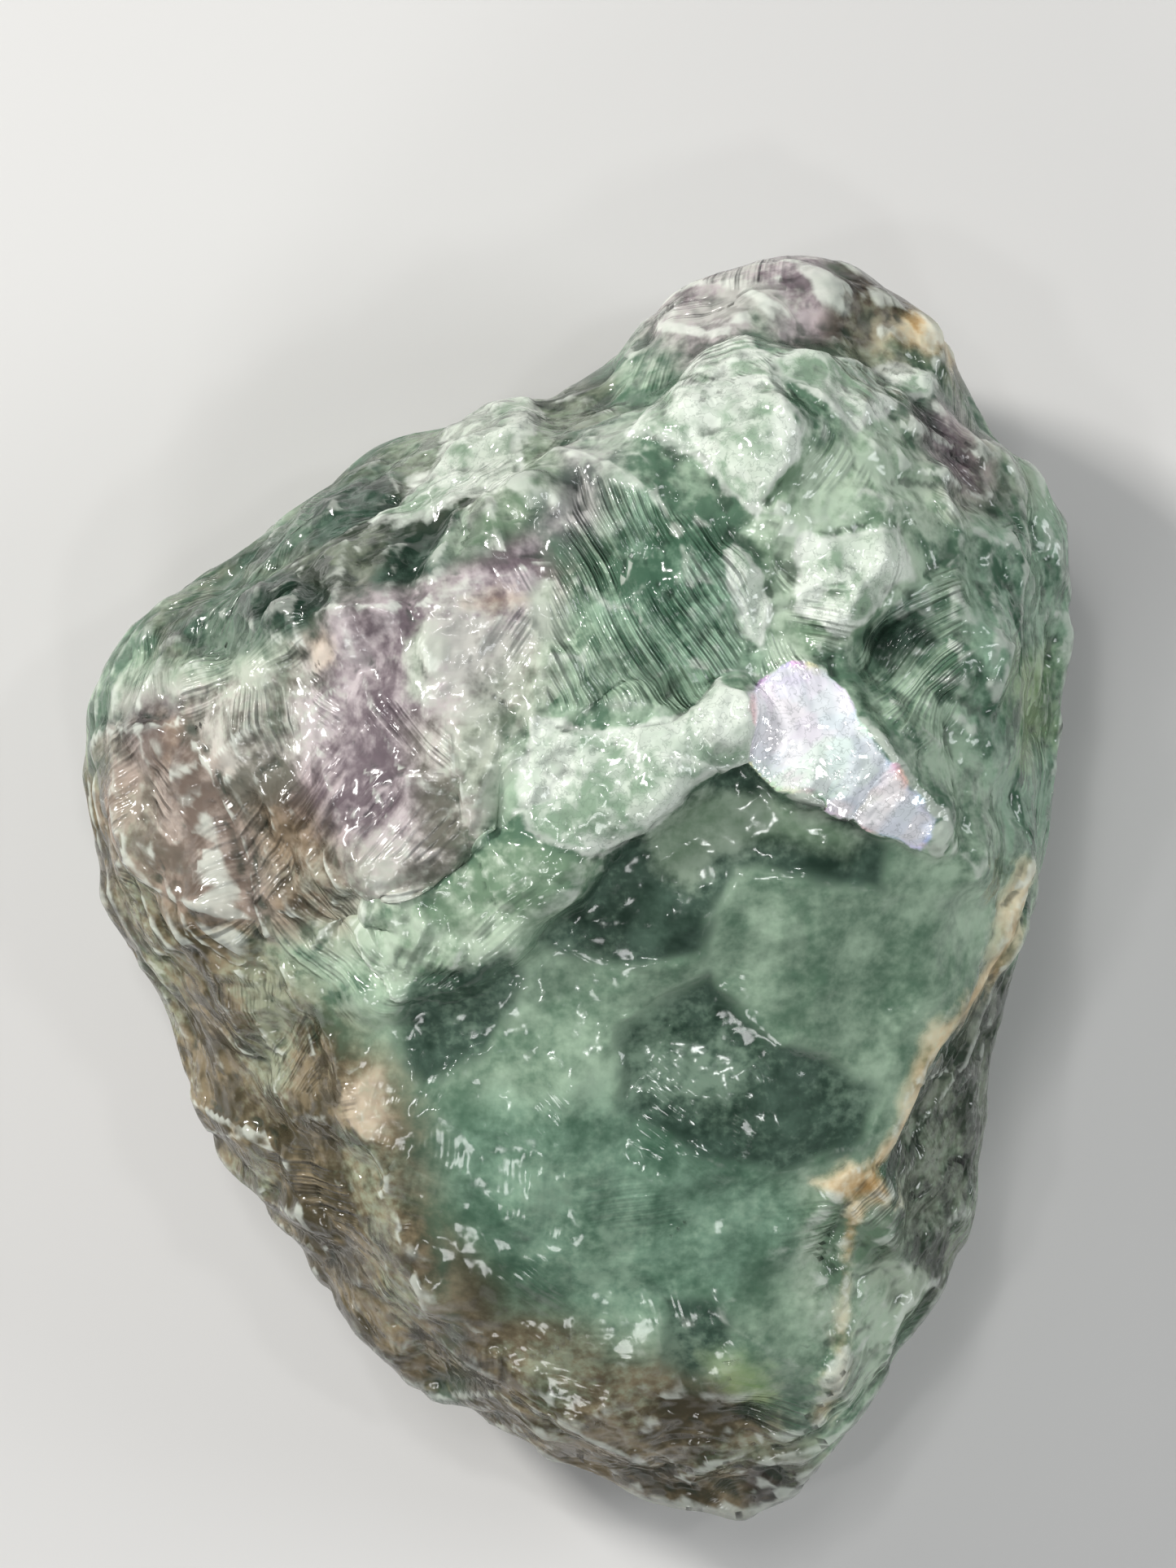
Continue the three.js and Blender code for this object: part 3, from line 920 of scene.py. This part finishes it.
def shared_patterns(bench):
    """The patterns by name, each a number over the surface. Their sources are centred on 0."""
    place = bench.node("ShaderNodeTexCoord", output="Object")
    broad, middle, fine = (bench.noise(place, *size) for size in (BROAD_NOISE, MIDDLE_NOISE, FINE_NOISE))
    tilt = bench.attribute("tilt", "Vector")
    worn = bench.between(bench.attribute("worn"), -WORN_EDGE, WORN_EDGE)
    sources = {"broad": broad - 0.5, "middle": middle - 0.5, "fine": fine - 0.5}
    sources["facets"] = bench.node("ShaderNodeSeparateXYZ", {}, {0: tilt})
    sources["streaks"] = streak_lines(bench)
    mottle = blend(sources, MOTTLE_SHARES)
    return SimpleNamespace(
        place=place,
        tilt=tilt,
        worn=worn,
        wander=blend(sources, WANDER_SHARES),
        grain=sources["fine"],
        streaks=sources["streaks"],
        tone=bench.between(mottle * (1 - WORN_CALM * worn) + 0.5, DARKEST_TONE, LIGHTEST_TONE),
        crackle=bench.between(bench.away(fine, 0.5), CRACKLE_WIDTH, 0.0),
        patchy=bench.between(broad + fine * PATCHY_GRAIN, PATCHY_FROM, PATCHY_FULL),
    )


print("noise sizes, mm:", [size[0] for size in (BROAD_NOISE, MIDDLE_NOISE, FINE_NOISE)])

# %% [markdown]
# ## Zone colours
# Every zone has a dark and a light colour that the tone mixes, a clearness and a roughness. The zones
# are laid over the base green one after another, as glazes are.

# %% Zone looks
ZONE_LOOK = {  # kind: dark and light colour, edge softness in mm, strength, clearness, roughness
    "ash": ("6a675e", "bfbab2", 1.2, 0.95, 0.1, 0.22),
    "smoky": ("4a3d2c", "8b775d", 1.6, 0.9, 0.22, 0.14),
    "olive": ("3b4037", "7f8674", 0.8, 0.9, 0.3, 0.1),
    "purple": ("6b5a68", "b9abb3", 1.5, 0.65, 0.15, 0.2),
    "mauve": ("75635a", "a8968a", 0.8, 0.7, 0.25, 0.15),
    "teal": ("446853", "8db39a", 1.5, 0.8, 0.38, 0.14),
    "deep": ("263f32", "5f7d6d", 0.5, 0.9, 0.55, 0.13),
    "milky": ("7d967b", "c0cfba", 0.6, 0.7, 0.18, 0.14),
    "lime": ("86aa66", "b4ca92", 1.0, 0.7, 0.35, 0.1),
    "pale": ("8fa68f", "e6ece2", 0.3, 0.85, 0.15, 0.12),
    "cream": ("9a8672", "cfc0aa", 0.5, 0.6, 0.05, 0.3),
    "rust": ("b38d56", "e6d9b8", 0.5, 0.95, 0.0, 0.6),
    "black": ("1b1816", "514a42", 0.5, 0.9, 0.2, 0.08),
}
BASE_LOOK = ("587560", "abc3aa", 0.24, 0.14)  # dark and light colour, clearness, roughness
PATCHY_LOSS = 0.4


def zone_glazes(bench, pattern):
    """Colour, clearness and roughness after every zone is laid over the base. A zone's mask is an
    S-curve over its depth, with an edge that wanders, thinned in patches."""
    dark, light, clear, roughness = BASE_LOOK
    shade = bench.mix(pattern.tone, colour(dark), colour(light))
    for kind, (dark, light, soft, strength, zone_clear, zone_rough) in ZONE_LOOK.items():
        edge = bench.attribute(kind) + pattern.wander * min(1, (1 + soft) / 2)
        mask = bench.between(edge, -soft, soft) * (strength - PATCHY_LOSS * strength * pattern.patchy)
        shade = bench.mix(mask, shade, bench.mix(pattern.tone, colour(dark), colour(light)))
        clear = clear + (zone_clear - clear) * mask
        roughness = roughness + (zone_rough - roughness) * mask
    return shade, clear, roughness


print(len(ZONE_LOOK), "zone looks")

# %% [markdown]
# ## Ridges, plates and the flake
# Chipped ridges are white with tiny cracks and get a painted highlight, and creases get painted shade.
# The crushed plates have a pale rim and a crackle. One flat cleavage flake shines like a mirror, with
# a little of the colours that a thin film of air gives: each of its facets takes its own tint. Its
# silvery white is partly a painted reflection.

# %% Marks on the colour
# The ridge colour is chipped white and painted highlight; the crease colour is painted shade.
RIDGE_WHITE_AND_HIGHLIGHT, RIDGE_WHITE_AND_HIGHLIGHT_STRENGTH, RIDGE_FROM, RIDGE_FULL = "e6ede2", 0.55, 0.01, 0.05
CREASE_PAINTED_SHADE, CREASE_PAINTED_SHADE_STRENGTH, CREASE_FROM, CREASE_FULL = "2b3a31", 0.6, -0.01, -0.055
PLATE_CRACKLE_COLOUR, PLATE_RIM_COLOUR, PLATE_RIM_STRENGTH = "66766a", "f2f5ee", 1.4
FLAKE_CRACKLE_COLOUR = "6f7a78"
CRACKLE_STRENGTH = 0.35
RIDGE_GRAIN = 0.02
PLATE_EDGE, PLATE_WANDER = 0.3, 0.5
FLAKE_TINT = (1.6, 1.6, 1.6)
# The flake's silvery white partly paints the reflection of its mirror.
FLAKE_SILVER_AND_PAINTED_SHINE = (0.78, 0.8, 0.82)


def ridge_highlight_and_crease_shade(bench, pattern, shade):
    """White and painted highlight on ridges, painted shade in creases, by how far a point stands proud."""
    ridge = bench.attribute("ridge") + pattern.grain * RIDGE_GRAIN
    # light is chipped white and a painted highlight on ridges; dark is painted shade in creases
    light = bench.between(ridge, RIDGE_FROM, RIDGE_FULL) * RIDGE_WHITE_AND_HIGHLIGHT_STRENGTH
    dark = bench.between(ridge, CREASE_FROM, CREASE_FULL) * CREASE_PAINTED_SHADE_STRENGTH
    return bench.mix(dark, bench.mix(light, shade, colour(RIDGE_WHITE_AND_HIGHLIGHT)), colour(CREASE_PAINTED_SHADE))


def plate_marks(bench, pattern, shade):
    """Crackle inside the pale plates, and a rim where their mask is half way."""
    plate = bench.between(bench.attribute("pale") + pattern.wander * PLATE_WANDER, -PLATE_EDGE, PLATE_EDGE)
    crackle = pattern.crackle * plate * CRACKLE_STRENGTH
    shade = bench.mix(crackle, shade, colour(PLATE_CRACKLE_COLOUR))
    return bench.mix(plate * (1 - plate) * PLATE_RIM_STRENGTH, shade, colour(PLATE_RIM_COLOUR))


def flake_tint_and_painted_shine(bench, pattern):
    """A tint from each facet's lean on a silvery white, partly a painted reflection, with a crackle."""
    # The silvery white is partly a painted reflection; the facets' tints are the thin film's colours.
    film_tint_and_painted_shine = bench.vector("MULTIPLY_ADD", pattern.tilt, FLAKE_TINT, FLAKE_SILVER_AND_PAINTED_SHINE)
    return bench.mix(pattern.crackle * CRACKLE_STRENGTH, film_tint_and_painted_shine, colour(FLAKE_CRACKLE_COLOUR))


print("the flake's mean colour:", FLAKE_SILVER_AND_PAINTED_SHINE)

# %% [markdown]
# ## The finish
# Clear zones let light in, cloudy zones scatter it back. So the finish is two shaders: a glass with
# fluorite's low refraction, and a cloudy body. A mask mixes them: the deep zones are mostly glass, the
# pale ones mostly body. Green absorption fills the inside. Streaks and lumps are a bump, and the small
# facets tip the surface.

# %% Fluorite finish
FLUORITE_IOR = 1.434
INSIDE_COLOUR, INSIDE_DENSITY = (0.2, 0.55, 0.42, 1), 50.0
LUMP_NOISE, LUMP_HEIGHT, LUMP_WORN_LOSS = (1.3, 1.0), 0.55, 0.38
FLAKE_ROUGHNESS, FLAKE_METAL = 0.1, 0.25
FLAKE_EDGE, FLAKE_WANDER = 0.12, 0.35


def tipped_normal(bench, pattern):
    """The bump of streaks and lumps, leant by the small facets."""
    lumps = bench.noise(pattern.place, *LUMP_NOISE) - 0.5
    height = pattern.streaks + lumps * (LUMP_HEIGHT - LUMP_WORN_LOSS * pattern.worn)
    bump = bench.node("ShaderNodeBump", {}, {"Strength": 1.0, "Distance": MM, "Height": height})
    return bench.vector("NORMALIZE", bench.vector("ADD", bump, pattern.tilt))


def fluorite_finish():
    """A cloudy body and a glass, mixed by clearness, round a green absorbing inside."""
    material = bpy.data.materials.new("fluorite")
    material.use_nodes = True
    material.node_tree.nodes.clear()
    bench = Bench(material)
    pattern = shared_patterns(bench)
    shade, clear, roughness = zone_glazes(bench, pattern)
    shade = plate_marks(bench, pattern, ridge_highlight_and_crease_shade(bench, pattern, shade))
    flake_depth = bench.attribute("flake") + pattern.wander * FLAKE_WANDER
    flake = bench.between(flake_depth, -FLAKE_EDGE, FLAKE_EDGE)
    shared = {
        "Base Color": bench.mix(flake, shade, flake_tint_and_painted_shine(bench, pattern)),
        "Roughness": roughness + (FLAKE_ROUGHNESS - roughness) * flake,
        "IOR": FLUORITE_IOR,
        "Normal": tipped_normal(bench, pattern),
    }
    body = bench.node("ShaderNodeBsdfPrincipled", {}, {**shared, "Metallic": flake * FLAKE_METAL})
    glass = bench.node("ShaderNodeBsdfPrincipled", {}, {**shared, "Transmission Weight": 1.0})
    surface = bench.node("ShaderNodeMixShader", {}, {0: clear * (1 - flake), 1: body, 2: glass})
    absorption = {"Color": INSIDE_COLOUR, "Density": INSIDE_DENSITY}
    green = bench.node("ShaderNodeVolumeAbsorption", {}, absorption)
    bench.node("ShaderNodeOutputMaterial", {}, {"Surface": surface, "Volume": green})
    return material


stone.data.materials.append(fluorite_finish())
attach(stone, "root")
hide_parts(STONE_NODE)
print(len(stone.data.materials[0].node_tree.nodes), "nodes in the finish")

# %% [markdown]
# ## The flake's own lamp
# The flake throws a lamp straight back at the camera. A small lamp is put where a mirror at the flake's
# mean tilt would show it: the way to the camera, turned over about the flake's normal.

# %% Lamp in the flake's mirror
GLINT_AWAY, GLINT_SIDE, GLINT_WATTS = 420, 50, 0.4
flake_points = depths["flake"] > 0
flake_normal = Vector(normals[flake_points].mean(0)).normalized()
flake_middle = Vector(form[flake_points].mean(0))
to_camera = (camera.location - flake_middle).normalized()
mirrored = 2 * to_camera.dot(flake_normal) * flake_normal - to_camera
lamp("glint", (flake_middle / MM + mirrored * GLINT_AWAY)[:], GLINT_SIDE, GLINT_WATTS)
print("flake faces", [round(v, 2) for v in flake_normal], "lamp towards", [round(v, 2) for v in mirrored])
